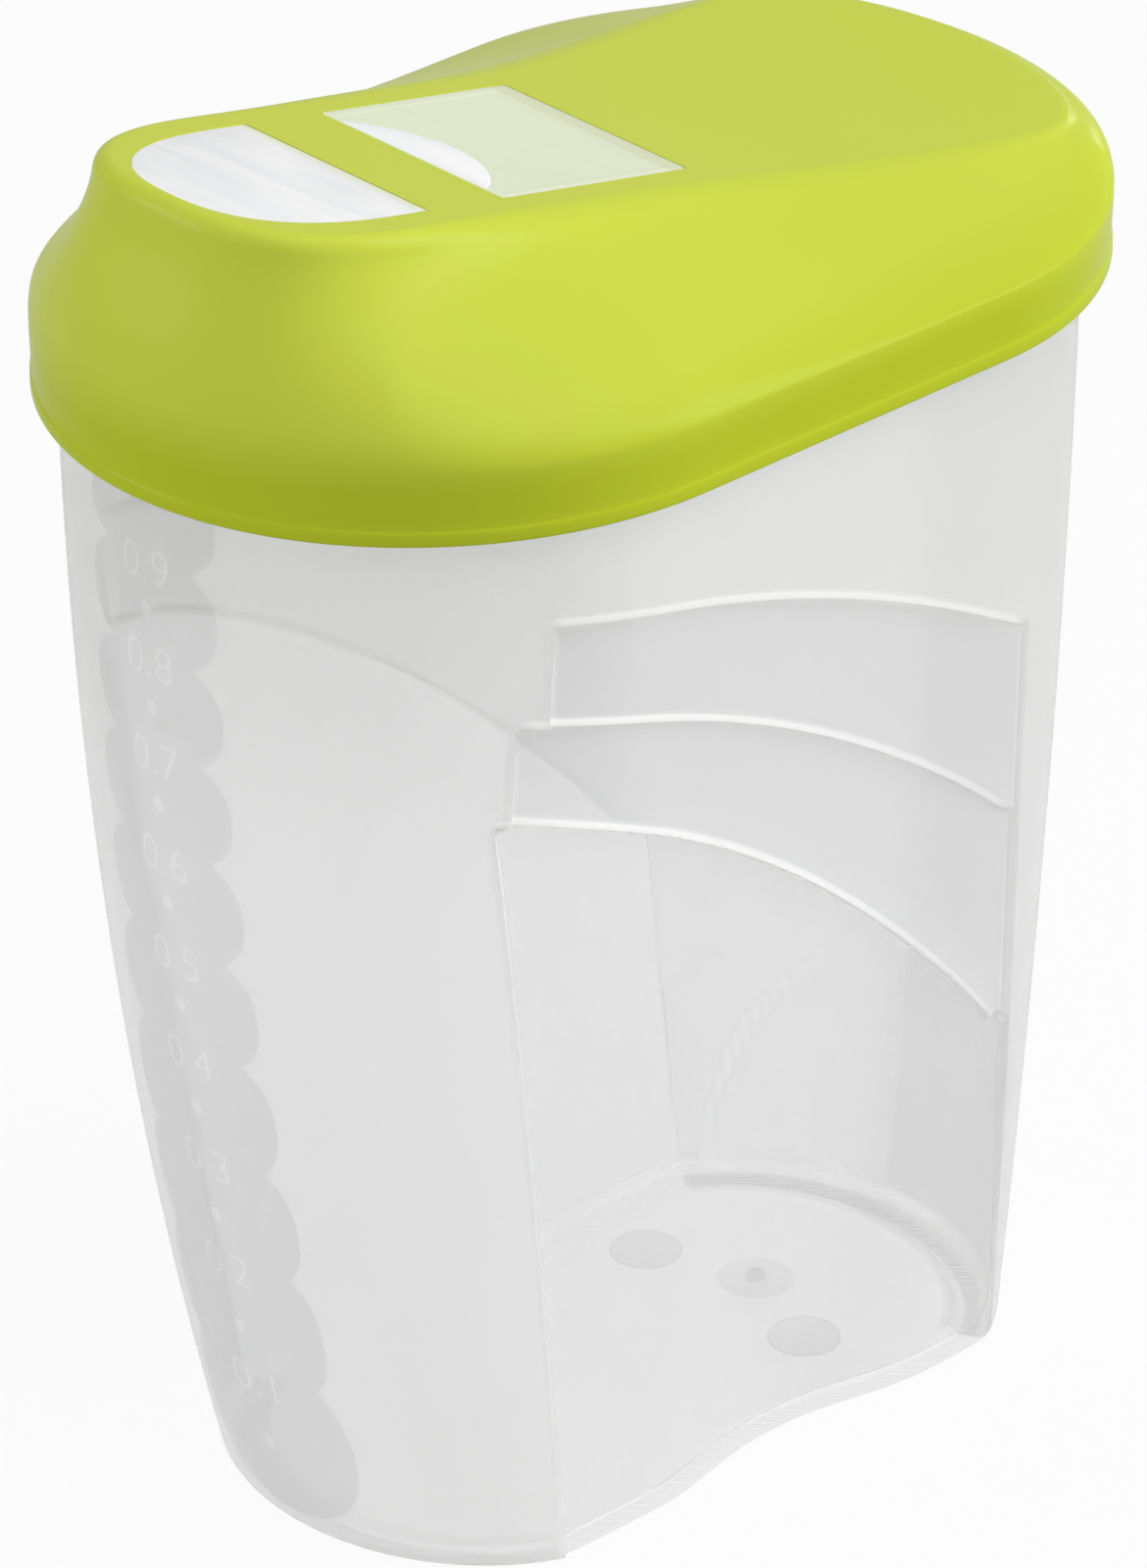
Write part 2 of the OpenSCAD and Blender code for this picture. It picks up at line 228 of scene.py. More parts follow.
def frosted_plastic():
    material, nodes, links, shader = new_material("frosted_plastic")
    coords = nodes.new("ShaderNodeTexCoord").outputs["Object"]
    ledge, clear = attribute(nodes, "ledge"), attribute(nodes, "clear")
    shade = calc(nodes, links, "MULTIPLY", clear, 8.0, clamp=True)
    outer = calc(nodes, links, "LESS_THAN", clear, SHADED_BELOW)
    shade = calc(nodes, links, "MULTIPLY", shade, outer)
    cloud = noise(nodes, links, coords, 38.0, 3.0, 0.55)
    frosted = mix_colour(nodes, links, cloud, linear(251, 252, 252), linear(254, 254, 254))
    colour = mix_colour(nodes, links, shade, frosted, linear(235, 236, 237))
    # painted highlight along the step rims, the dent's crease, the floor's inner corner and the
    # mould marks' rims: whiter here, and more opaque below
    colour = mix_colour(nodes, links, ledge, colour, linear(253, 253, 253))
    links.new(colour, shader.inputs["Base Color"])
    shader.inputs["Roughness"].default_value = 0.45
    alpha = calc(nodes, links, "MULTIPLY_ADD", clear, -0.45, 0.68)
    alpha = calc(nodes, links, "MAXIMUM", alpha, 0.05)
    alpha = calc(nodes, links, "MULTIPLY_ADD", ledge, 0.4, alpha, clamp=True)
    links.new(alpha, shader.inputs["Alpha"])
    shader.inputs["IOR"].default_value = PLASTIC_IOR
    shader.inputs["Transmission Weight"].default_value = 0.6
    grain = noise(nodes, links, coords, 2600.0, 2.0, 0.6)
    bump(nodes, links, grain, 0.12, 0.0001, shader)
    return material


def lime_plastic():
    material, nodes, links, shader = new_material("lime_plastic")
    coords, (_, _, z) = object_place(nodes, links)
    cloud = noise(nodes, links, coords, 26.0, 3.0, 0.5)
    colour = mix_colour(nodes, links, cloud, linear(194, 207, 68), linear(198, 210, 73))
    # painted shade: the lid is darker towards its skirt, fully below 154.3 mm and not at all
    # above 161.4 mm
    skirt = calc(nodes, links, "MULTIPLY_ADD", z, -140.0, 22.6, clamp=True)
    colour = mix_colour(nodes, links, skirt, colour, linear(182, 196, 42))
    links.new(colour, shader.inputs["Base Color"])
    shader.inputs["Roughness"].default_value = 0.24
    shader.inputs["IOR"].default_value = PLASTIC_IOR
    shader.inputs["Specular IOR Level"].default_value = 0.06
    return material


def milky_plastic():
    """Milky flow lines, with painted green reflected light from the lid on the rear leaf and on
    both sides of the lid's bar.
    """
    material, nodes, links, shader = new_material("milky_plastic")
    coords, (_, y, _) = object_place(nodes, links)
    stretch = nodes.new("ShaderNodeMapping")
    stretch.inputs["Scale"].default_value = (0.32, 1.0, 1.0)
    stretch.inputs["Rotation"].default_value = (0, 0, math.radians(20))
    links.new(coords, stretch.inputs["Vector"])
    swirl = noise(nodes, links, stretch.outputs[0], 105.0, 2.0, 0.45, 1.6)
    flow = calc(nodes, links, "MULTIPLY_ADD", swirl, 3.2, -1.1, clamp=True)
    colour = mix_colour(nodes, links, flow, linear(244, 245, 247), linear(255, 255, 255))
    pad, rear = attribute(nodes, "pad"), attribute(nodes, "rear")
    # painted reflected light: a green cast from the lid over the whole rear leaf
    colour = mix_colour(nodes, links, rear, colour, linear(236, 243, 213))
    # painted reflected light: a green cast from the bar on the front leaf beside it
    before_bar = calc(nodes, links, "LESS_THAN", y, -0.03)
    painted_bar_reflection = calc(nodes, links, "MULTIPLY_ADD", y, 900.0, 34.6, clamp=True)
    painted_bar_reflection = calc(nodes, links, "MULTIPLY", painted_bar_reflection, before_bar)
    painted_bar_reflection = calc(nodes, links, "MULTIPLY", painted_bar_reflection, 0.7)
    colour = mix_colour(nodes, links, painted_bar_reflection, colour, linear(238, 244, 196))
    # painted reflected light: a green cast at the rear leaf's far end, beside the window's green
    # wall
    painted_wall_reflection = calc(nodes, links, "MULTIPLY_ADD", y, 1500.0, -1.0, clamp=True)
    colour = mix_colour(nodes, links, painted_wall_reflection, colour, linear(226, 232, 196))
    links.new(colour, shader.inputs["Base Color"])
    alpha = calc(nodes, links, "MULTIPLY_ADD", pad, 0.08, 0.92, clamp=True)
    links.new(alpha, shader.inputs["Alpha"])
    shader.inputs["Roughness"].default_value = 0.26
    shader.inputs["IOR"].default_value = PLASTIC_IOR
    bump(nodes, links, flow, 0.15, 0.0004, shader)
    return material


def polished_plastic():
    """The thin grey veil that a polished field shows on the frosted wall."""
    material, nodes, links, shader = new_material("polished_plastic")
    coords = nodes.new("ShaderNodeTexCoord").outputs["Object"]
    cloud = noise(nodes, links, coords, 60.0)
    colour = mix_colour(nodes, links, cloud, linear(122, 126, 128), linear(136, 139, 141))
    links.new(colour, shader.inputs["Base Color"])
    shader.inputs["Roughness"].default_value = 0.25
    shader.inputs["Alpha"].default_value = 0.06
    return material


FROSTED, LIME = frosted_plastic(), lime_plastic()
MILKY, POLISHED = milky_plastic(), polished_plastic()

# ------------------------------------------------ container
NECK, WALL, RIM, FLOOR = 147.8, 1.3, 153.8, 2.2
FOOT_ROUND, FOOT_RECESS, CORNER_ROUND = 1.9, 0.7, 1.6
# The wall's section, each at the foot and at the neck: half width, how far the front and the
# rear reach, and the length of the arcs at both ends. The last line is the change half way up.
HALF_WIDTH, FRONT_REACH, REAR_REACH = (30.7, 41.9), (46.2, 66.5), (59.1, 66.5)
FRONT_LENGTH, REAR_LENGTH = (27.4, 45), (25.8, 42.4)
WAIST, FRONT_BULGE, REAR_BULGE = 0.9, 5.4, 2.6

# The three steps of the grip, from the top: height of the upper edge at its front end, the
# front end itself, the edge's slope and curl towards the rear, and the corner's radius
STEP_TOP, STEP_FRONT = (134.2, 121.5, 108.6), (38.5, 42.2, 43.8)
STEP_SLOPE, STEP_CURL = (0.133, 0.187, 0.252), (0.0031, 0.0041, 0.0055)
STEP_CORNER = (0.5, 1.6, 1.3)
# Depth of each step, how far the upper two reach below the next edge, and where the front
# and rear edges of the grip lie and lean
STEP_DEPTH, STEP_OVERLAP = 0.7, 2.5
FRONT_LEAN, REAR_START, REAR_LEAN = 0.1435, 44.6, 0.05
# Height of the rims' flare, and how much of it the upright edges get
RIM_FLARE, FRONT_RIM, REAR_RIM = 0.62, 0.45, 0.12
# The thumb dent: its middle, the top of its arch and its half width, and the crease's circle
DENT_Y, DENT_TOP, DENT_HALF = 10, 70, 17.6
CREASE_Y, CREASE_Z, CREASE_RADIUS = 9.6, 52.6, 17.8


def wall_shape(z):
    """Share of the height, half width, and the middle and length of the front and rear arcs."""
    t = np.clip(z / NECK, 0, 1)
    bulge = 4 * t * (1 - t)
    half = lerp(*HALF_WIDTH, t) - WAIST * bulge
    front_len, rear_len = lerp(*FRONT_LENGTH, t), lerp(*REAR_LENGTH, t)
    front_mid = -lerp(*FRONT_REACH, t) - FRONT_BULGE * bulge + front_len
    rear_mid = lerp(*REAR_REACH, t) + REAR_BULGE * bulge - rear_len
    return t, half, front_mid, rear_mid, front_len, rear_len


def front_edge(k, z):
    lean = FRONT_LEAN * np.maximum(0, STEP_TOP[2] - z) if k == 2 else 0 * z
    return -STEP_FRONT[k] + lean


def rear_edge(z):
    return REAR_START - REAR_LEAN * z


def upper_edge(k, y):
    """Height and slope of a step's upper edge."""
    front, slope, curl = STEP_FRONT[k], STEP_SLOPE[k], STEP_CURL[k]
    run = np.clip(y, -front, rear_edge(STEP_TOP[k])) + front
    return STEP_TOP[k] - slope * run - curl * run * run, slope + 2 * curl * run


def step_rooms(y, z):
    """For each step, the distance inside its outline, and the share of the rim there."""
    room, rim = [], []
    for k in range(3):
        top, slope = upper_edge(k, y)
        front, rear = y - front_edge(k, z), rear_edge(z) - y
        sides = np.minimum(front, rear)
        below = (top - z) / np.sqrt(1 + slope * slope)
        r = STEP_CORNER[k]
        corner = r - np.hypot(np.maximum(r - sides, 0), np.maximum(r - below, 0))
        room.append(np.where((sides < r) & (below < r), corner, np.minimum(sides, below)))
        upright = np.where(front < rear, FRONT_RIM, REAR_RIM)
        rim.append(lerp(upright, 1.0, soft((sides - below) / 1.2 + 0.5)))
        if k < 2:
            next_edge = upper_edge(k + 1, y)[0]
            room[k] = np.minimum(room[k], z - next_edge + STEP_OVERLAP)
    return room, rim


def thumb_dent(y, z):
    """Depth of the dent, which gets wider, deeper and softer towards the foot."""
    low = soft(1 - z / 55)
    u = np.abs(y - DENT_Y) / (DENT_HALF + 5.4 * low)
    arch = DENT_TOP - DENT_HALF * (1 - np.sqrt(np.maximum(0, 1 - u * u)))
    depth = lerp(2.7, 3.2, low) * (1 - np.clip(z, 0, DENT_TOP) / DENT_TOP * 0.8)
    depth = depth * soft((1 - u) * (2.2 - 1.12 * low)) * soft((arch - z) / 6)
    return np.where((u < 1) & (z < arch), depth, 0)


def recess(x, y, z, t, half, outside):
    """Depth of the grip and the dent, the flare of the rims, the mask clear, and the painted
    highlight along the rims and the dent's crease.
    """
    room, rims = step_rooms(y, z)
    depth = np.maximum(0, STEP_DEPTH - (half - x) * 0.27 * np.clip(1 - t / 0.73, 0, 1))
    total, flare, ledge = 0 * x, 0 * x, 0 * x
    taper = lerp(1.0, 0.55, soft((y + 5) / 46)) * np.clip(depth / 0.5, 0, 1)
    taper = taper * soft((rear_edge(z) - y - 0.4) / 4)
    for k in range(3):
        d = np.maximum.reduce(room[k:])
        rim = rims[2] if k == 2 else np.where(room[k] >= d, rims[k], rims[k + 1])
        total = total + depth * (soft(d / 0.5 + 0.4) if outside else soft(d / 8 + 0.5))
        rise = np.clip((d + 1.1) / 1.0, 0, 1) ** 1.3 * soft(0.5 - d / 0.3)
        flare = np.maximum(flare, RIM_FLARE * rise * rim * taper)
        # painted highlight along the crest of each step's rim
        crest = soft((d + 1.15) / 0.4) * soft(0.5 - (d - 0.05) / 0.2)
        ledge = np.maximum(ledge, crest * rim * taper)
    arc = np.hypot(y - CREASE_Y, np.maximum(z - CREASE_Z, 0)) - CREASE_RADIUS
    crease = np.clip((15 - y) / 16, 0, 1) * soft((z - 38) / 26) * soft(room[2] / 3)
    flare = flare + 0.3 * np.exp(-((arc - 1.0) / 1.7) ** 2) * crease
    total = total + thumb_dent(y, z)
    # the lowest panel is polished, and the two above it only a little
    lowest, upper = room[2], np.maximum(room[0], room[1])
    clear = np.maximum(OUTER_CLEAR * soft((lowest + 0.35) / 0.8), 0.12 * soft(upper / 1.2))
    if outside:
        # painted highlight along the dent's crease
        ledge = np.maximum(ledge, 0.25 * np.exp(-(arc / 1.8) ** 2) * crease)
        clear = np.minimum(clear, OUTER_CLEAR)
    return total, flare, ledge, clear


# Half ring from the rear middle to the front middle: the rear arc, the side stations as
# (share of the recess's rear edge, offset from the edges) and the front arc
PAST_REAR, PAST_FRONT, FRONT_ZONE = 1.4, 1.6, 7.6
REAR_ARC = np.arange(24) / 24
SIDE = np.array([(1, PAST_REAR - 2 * PAST_REAR * i / 8) for i in range(9)]
                + [(1 - i / 44, lerp(-PAST_REAR, FRONT_ZONE, i / 44)) for i in range(1, 44)]
                + [(0, FRONT_ZONE - (FRONT_ZONE + PAST_FRONT) * i / 30) for i in range(31)])
FRONT_ARC = np.arange(1, 51) / 50
COLS = len(REAR_ARC) + len(SIDE) + len(FRONT_ARC)


def wall_rings(rows, inset, lip, fixed=None, outside=True):
    """Half rings of the wall and their painted highlight and clear values.

    rows are (zone edge below, zone edge above, share, offset), with the edges counted down
    from the neck (0) over the steps' upper edges to the foot (4). fixed gives heights instead.
    """
    inset, lip = np.asarray(inset, float)[:, None], np.asarray(lip, float)[:, None]
    count = len(rows) if fixed is None else len(fixed)
    y = np.zeros((count, COLS))
    for _ in range(7):
        if fixed is None:
            zones = [np.full_like(y, NECK), *(upper_edge(k, y)[0] for k in range(3)),
                     np.full_like(y, FOOT_ROUND)]
            z = np.array([lerp(zones[below][i], zones[above][i], share) + offset
                          for i, (below, above, share, offset) in enumerate(rows)])
        else:
            z = np.repeat(np.asarray(fixed, float)[:, None], COLS, 1)
        t, half, front_mid, rear_mid, front_len, rear_len = wall_shape(z)
        a, b = front_edge(2, z), rear_edge(z)
        n1, n2 = len(REAR_ARC), len(REAR_ARC) + len(SIDE)
        turn_rear = np.arcsin(np.clip((b + PAST_REAR - rear_mid) / rear_len, 0, 1))
        turn_front = np.arcsin(np.clip((a - PAST_FRONT - front_mid) / front_len, -1, 0))
        angle = np.zeros_like(z)
        angle[:, :n1] = lerp(math.pi / 2, turn_rear[:, :n1], REAR_ARC)
        angle[:, n2:] = lerp(turn_front[:, n2:], -math.pi / 2, FRONT_ARC)
        share, offset = SIDE.T
        y = np.empty_like(z)
        y[:, :n1] = (rear_mid + rear_len * np.sin(angle))[:, :n1]
        y[:, n1:n2] = share * b[:, n1:n2] + (1 - share) * a[:, n1:n2] + offset
        y[:, n2:] = (front_mid + front_len * np.sin(angle))[:, n2:]
    in_front, behind = y < front_mid, y > rear_mid
    off = np.where(behind, (y - rear_mid) / rear_len, 0)
    off = np.where(in_front, (y - front_mid) / front_len, off)
    x = half * np.sqrt(np.maximum(0, 1 - off * off))
    normal = np.stack([x / half / half, off / np.where(in_front, front_len, rear_len)], -1)
    normal /= np.linalg.norm(normal, axis=-1, keepdims=True)
    cut, flare, ledge, clear = recess(x, y, z, t, half, outside)
    if outside:
        cut = cut - flare
    p = np.stack([x, y], -1) - normal * (inset + cut - lip)[..., None]
    p[..., 0] = np.maximum(p[..., 0], 0)
    p[:, 0, 0] = p[:, -1, 0] = 0
    return np.concatenate([p, z[..., None]], -1), ledge, clear


def at_edge(edge, offsets):
    return [(edge, edge, 0, offset) for offset in offsets]


def between(below, above, count, start, end, first=1, last=0):
    """Rows between two zone edges, while the offset runs from start to end."""
    return [(below, above, i / count, lerp(start, end, i / count))
            for i in range(first, count + last)]


FINE = (-1.5, -0.9, -0.5, -0.28, -0.16, -0.06, 0.06, 0.16, 0.35, 0.6, 0.85, 1.1, 1.5)
COARSE = (-0.6, 0, 0.6)
OUTER = (between(4, 3, 84, 0, FINE[0], first=0) + at_edge(3, FINE)
         + between(3, 2, 4, FINE[-1], FINE[0]) + at_edge(2, FINE)
         + between(2, 1, 4, FINE[-1], FINE[0]) + at_edge(1, FINE)
         + between(1, 0, 8, FINE[-1], 0, last=1))
INNER = (between(4, 3, 26, FOOT_ROUND, COARSE[0], first=0) + at_edge(3, COARSE)
         + between(3, 2, 3, 0, 0) + at_edge(2, COARSE)
         + between(2, 1, 3, 0, 0) + at_edge(1, COARSE)
         + between(1, 0, 4, COARSE[-1], 0, last=1))

# Heights above the neck and the outward reach of the flange at the rim
FLANGE = ((1.4, 0), (2.6, 0), (2.8, 0.12), (3.0, 0.38), (3.2, 0.5),
          (RIM - 0.5 - NECK, 0.5), (RIM - 0.2 - NECK, 0.4), (RIM - NECK, 0.1))
# Height and inset of the foot's underside, from the recess outwards
FOOT = ((FOOT_RECESS, 4.9), (0.45, 4.55), (0.08, 4.1), (0.0, 3.8))
# Painted highlight along the inner corner between wall and floor, over the rings of its bend
FLOOR_HIGHLIGHT = (0, 0.1, 0.4, 0.6, 0.4, 0.1, 0)
# Marks of the mould on the floor, as x, y, radius, height and strength of the painted
# highlight on the rim: two plain discs, and the gate in its shallow ring
MOULD_MARKS = ((-14.1, 25.7, 4.6, 0.2, 0.5), (14.1, 25.7, 4.6, 0.2, 0.5),
               (0, 31, 4.8, 0.08, 0), (0, 31, 1.2, 0.9, 0.2))


def to_middle(ring, z, steps):
    """Rings at height z that close a ring towards a line along its middle."""
    y = ring[:, 1]
    spine = np.stack([ring[:, 0] * 0, np.clip(y, y.min() * 0.42, y.max() * 0.58)], -1)
    out = []
    for s in steps:
        p = lerp(ring[:, :2], spine, s)
        out.append(np.concatenate([p, np.full((len(p), 1), z)], -1))
    return out


def container():
    shell = Shell()
    quarter = np.radians(np.linspace(0, 90, 8))[:-1]
    foot_z = [z for z, _ in FOOT] + list(FOOT_ROUND * (1 - np.cos(quarter)))
    foot_inset = [inset for _, inset in FOOT] + list(FOOT_ROUND * (1 - np.sin(quarter)))
    bend = np.radians(np.linspace(0, 90, 7))
    corner_z = FLOOR + CORNER_ROUND * (1 - np.sin(bend))
    corner_inset = WALL + CORNER_ROUND * (1 - np.cos(bend))
    rim_z, rim_lip = [NECK + z for z, _ in FLANGE], [lip for _, lip in FLANGE]
    top_z, top_inset = [RIM, RIM - 0.3, RIM - 1, NECK + 1], [WALL - 0.3, WALL, WALL, WALL]
    # parts of the wall, from the foot up the outside, over the rim and down the inside
    foot = wall_rings(None, foot_inset, [0] * len(foot_inset), fixed=foot_z)
    side = wall_rings(OUTER, [0] * len(OUTER), [0] * len(OUTER))
    rim = wall_rings(None, [0] * len(FLANGE), rim_lip, fixed=rim_z)
    top = wall_rings(None, top_inset, [0] * len(top_z), fixed=top_z)
    inner = wall_rings(INNER, [WALL] * len(INNER), [0] * len(INNER), outside=False)
    inner = tuple(part[::-1] for part in inner)
    corner = wall_rings(None, corner_inset, [0] * len(bend), fixed=corner_z, outside=False)
    half = np.concatenate([part[0] for part in (foot, side, rim, top, inner, corner)])
    floor_highlight = corner[1] * 0 + np.array(FLOOR_HIGHLIGHT)[:, None]
    ledge = np.concatenate([foot[1] * 0, side[1], rim[1] * 0, top[1] * 0, inner[1] * 0,
                            floor_highlight])
    clear = np.concatenate([foot[2], side[2], rim[2] * 0, top[2] * 0, inner[2] * 0 + 1,
                            corner[2] * 0 + 1])
    rings = mirrored(half)
    under = to_middle(rings[0], FOOT_RECESS, (1, 0.75, 0.5, 0.25, 0.08))
    floor = to_middle(rings[-1], FLOOR, (0.08, 0.25, 0.5, 0.75, 1))
    rings = np.concatenate([under, rings, floor])
    ones = np.ones((len(floor), rings.shape[1]))
    ledge = np.concatenate([ones * 0, mirrored_value(ledge), ones * 0])
    clear = np.concatenate([ones, mirrored_value(clear), ones])
    shell.rings(rings, ledge=ledge, clear=clear)
    for x, y, radius, height, rim_highlight in MOULD_MARKS:
        a = circle(7.5)
        profile = ((radius, FLOOR - 0.05), (radius, FLOOR + height * 0.6),
                   (radius - 0.25, FLOOR + height), (radius - 0.55, FLOOR + height * 0.7),
                   (radius * 0.4, FLOOR + height * 0.5), (0.01, FLOOR + height * 0.5))
        lathe = [[(x + q * math.cos(b), y + q * math.sin(b), z) for b in a] for q, z in profile]
        # painted highlight on the rims of the mould marks
        mask = np.repeat(np.array([0.6, 1, 1, 0.3, 0, 0])[:, None] * rim_highlight, len(a), 1)
        shell.rings(lathe, first=True, last=True, ledge=mask, clear=mask * 0 + 1.5)
    shell.build("container_body", "container", FROSTED, node="container")


container()

# ------------------------------------------------ polished fields of the litre scale
# Top, bottom and half width of each oval
OVALS = [(150.5, 137.6, 10.4), (139.8, 125.1, 10.4), (127.2, 112.4, 10.6),
         (115.0, 99.2, 10.8), (102.0, 85.4, 11.1), (88.8, 70.9, 11.4), (75.0, 55.0, 11.8),
         (60.4, 39.0, 12.2), (45.5, 21.6, 12.6), (28.7, 3.1, 13.0)]
OVAL_POWER, DOT_SIZE = 0.82, (0.9, 1.04)
STRIP_HALF, STRIP_LOW, STRIP_HIGH = 4.7, 14.0, 147.0
# Litres and heights of the numerals, and the heights of the dots between them
MARKS = ((0.9, 137.8), (0.8, 125.3), (0.7, 112.4), (0.6, 98.9), (0.5, 85.2), (0.4, 71.2),
         (0.3, 56.3), (0.2, 40.7), (0.1, 23.1))
DOTS = (131.9, 119.2, 106.3, 92.8, 78.7, 64.1, 48.3, 31.5, 13.6)
NUMERAL_SIZE, NUMERAL_WEIGHT, NUMERAL_BOX = 6.4, -0.03, (7.6, 4.7)
# Both faces of the thin skin, as heights off the wall
SKIN = (0.04, -0.02)


def front_point(x, z, out):
    """Points on the front wall at x and z, lifted off it by out."""
    _, half, front_mid, _, front_len, _ = wall_shape(z)
    c = np.sqrt(np.maximum(0, 1 - (x / half) ** 2))
    normal = np.stack([x / half / half, -c / front_len], -1)
    normal /= np.linalg.norm(normal, axis=-1, keepdims=True)
    p = np.stack([x, front_mid - front_len * c], -1) + normal * out
    return np.concatenate([p, z[..., None]], -1)


def crossed(points, a, b):
    """Whether points are inside the outlines of edges from a to b, by the even-odd rule."""
    x, y = points[:, :1], points[:, 1:2]
    rise = np.where(b[:, 1] == a[:, 1], 1, b[:, 1] - a[:, 1])
    spans = (a[:, 1] > y) != (b[:, 1] > y)
    hit = spans & (x < (b[:, 0] - a[:, 0]) * (y - a[:, 1]) / rise + a[:, 0])
    return hit.sum(1) % 2 == 1


def inside(points, polygon):
    polygon = np.asarray(polygon, float)
    return crossed(points, polygon, np.roll(polygon, -1, 0))


def numeral_edges(value, height):
    """Outline edges of one number, centred at height above the floor."""
    curve = bpy.data.curves.new("numeral", "FONT")
    curve.body = f"{value:.1f}"
    curve.size, curve.offset, curve.resolution_u = NUMERAL_SIZE, NUMERAL_WEIGHT, 6
    text = bpy.data.objects.new("numeral", curve)
    scene.collection.objects.link(text)
    bpy.context.view_layer.update()
    shaped = text.evaluated_get(bpy.context.evaluated_depsgraph_get())
    flat = bpy.data.meshes.new_from_object(shaped)
    co = np.array([v.co for v in flat.vertices], float)[:, :2]
    uses = {}
    for polygon in flat.polygons:
        for key in polygon.edge_keys:
            uses[key] = uses.get(key, 0) + 1
    rim = np.array([key for key, count in uses.items() if count == 1])
    bpy.data.objects.remove(text)
    bpy.data.curves.remove(curve)
    bpy.data.meshes.remove(flat)
    low, high = co.min(0), co.max(0)
    co = (co - (low + high) / 2) * NUMERAL_BOX / (high - low) + [0, height]
    return co[rim[:, 0]], co[rim[:, 1]]


def scale_fields():
    """The ovals and the strip behind them, with the numerals and the dots left open."""
    shell = Shell()
    turn = circle(5)
    ring = np.stack([np.cos(turn), np.sin(turn)], -1)
    full = np.sign(ring.round(9)) * np.abs(ring) ** OVAL_POWER
    fields = [full * [half, (top - low) / 2] + [0, (top + low) / 2] for top, low, half in OVALS]
    fields.append(np.array([(-STRIP_HALF, STRIP_LOW), (STRIP_HALF, STRIP_LOW),
                            (STRIP_HALF, STRIP_HIGH), (-STRIP_HALF, STRIP_HIGH)]))
    dots = [ring[::3] * DOT_SIZE + [0, z] for z in DOTS]
    left_open = [numeral_edges(*mark) for mark in MARKS]
    left_open += [(dot, np.roll(dot, -1, 0)) for dot in dots]
    loops = [(f, np.roll(f, -1, 0)) for f in fields] + left_open
    gx, gz = np.meshgrid(np.arange(-12.6, 12.7, 1.4), np.arange(4, 150, 2.1))
    grid = np.stack([gx.ravel(), gz.ravel()], -1)
    a, b = np.concatenate([p for p, _ in loops]), np.concatenate([q for _, q in loops])
    points = np.concatenate([a, b, grid])
    edges = [(i, i + len(a)) for i in range(len(a))]
    v, _, f, _, _, _ = delaunay_2d_cdt([Vector(p) for p in points.tolist()], edges, [], 0, 1e-5)
    v = np.array([tuple(p) for p in v])
    middle = np.array([v[list(face)].mean(0) for face in f])
    keep = np.zeros(len(f), bool)
    for field in fields:
        keep |= inside(middle, field)
    open_a, open_b = (np.concatenate([pair[i] for pair in left_open]) for i in (0, 1))
    keep &= ~crossed(middle, open_a, open_b)
    f = [face for face, k in zip(f, keep) if k]
    used = sorted({i for face in f for i in face})
    place, count = {old: new for new, old in enumerate(used)}, len(used)
    for out in SKIN:
        shell.points(front_point(v[used, 0], v[used, 1], out))
    steps = {}
    for face in f:
        face = [place[i] for i in face]
        shell.f += [tuple(face), tuple(i + count for i in face[::-1])]
        steps.update(dict.fromkeys(zip(face, face[1:] + face[:1])))
    shell.f += [(b, a, a + count, b + count) for a, b in steps if (b, a) not in steps]
    shell.build("scale_fields", "container", POLISHED)


scale_fields()

# ------------------------------------------------ lid
HALF_W, HALF_L, ENDS = 45.1, 69.5, (48.0, 43.3)
SKIRT_Z, SKIRT_TOP, LID_T = 147.8, 156.6, 1.6
TILT = math.radians(11.4)
BAR_Y, BAR_Z, EDGE, INNER_EDGE = 31.1, 176.53, 2.3, 0.35
# The deck: the nose's length, half width and place, the strip that the shoulder leaves
# beside the rear end, and how far the rear end rises and from where
NOSE, NOSE_HALF, NOSE_BACK, REAR_STRIP = 24, 20.6, 5.2, 4
REAR_RISE, RISE_FROM, RISE_RUN = 4.2, 3, 62
# The windows in the deck's own frame: half width, where each starts and ends beside the bar,
# where the pouring window's round end starts, and the rounding of all their edges
WINDOW_HALF, BAR_HALF, POUR_FAR, PRESS_FAR = 15.4, 5.8, 31.4, 35.2
POUR_ROUND, ROUND_POWER, WINDOW_EDGE = 9.8, 0.8, 0.04
# Height above the skirt's lower edge and inset of the skirt's outside and of the snap bead
SKIRT_LINE = ((1.2, 0), (1.7, 0.01), (1.85, 0.05), (2.05, 0.17), (2.2, 0.2), (3.5, 0.17),
              (6.5, 0.05))
BEAD_LINE = ((2.6, 1.6), (2.2, 1.8), (1.8, 2.0), (1.4, 1.8), (1.0, 1.6), (0.3, 1.5), (0, 1.2))
# Distance from the middle to both faces of a cheek and to the bore's end, the bore's radius,
# and how far below the deck the cheek's middle and the flap's axis lie
CHEEK_OUT, CHEEK_IN, BORE_END, BORE, CHEEK_MID, AXIS = 19.5, 17.3, 19.1, 1.16, -3.25, -3.5

# Rays of the half ring: where each starts on the middle line, and its direction in degrees
MIDS = (-HALF_L + ENDS[0], HALF_L - ENDS[1])
FAN = np.array([(MIDS[1], 90 - 90 * i / 40) for i in range(40)]
               + [(lerp(MIDS[1], MIDS[0], i / 26), 0) for i in range(26)]
               + [(MIDS[0], -90 * i / 60) for i in range(61)])
COS, SIN = np.cos(np.radians(FAN[:, 1])), np.sin(np.radians(FAN[:, 1]))
COS[0] = COS[-1] = 0


def skirt_reach(inset):
    stretch = np.where(FAN[:, 1] > 0, ENDS[1], ENDS[0]) - inset
    return 1 / np.hypot(COS / (HALF_W - inset), SIN / stretch)


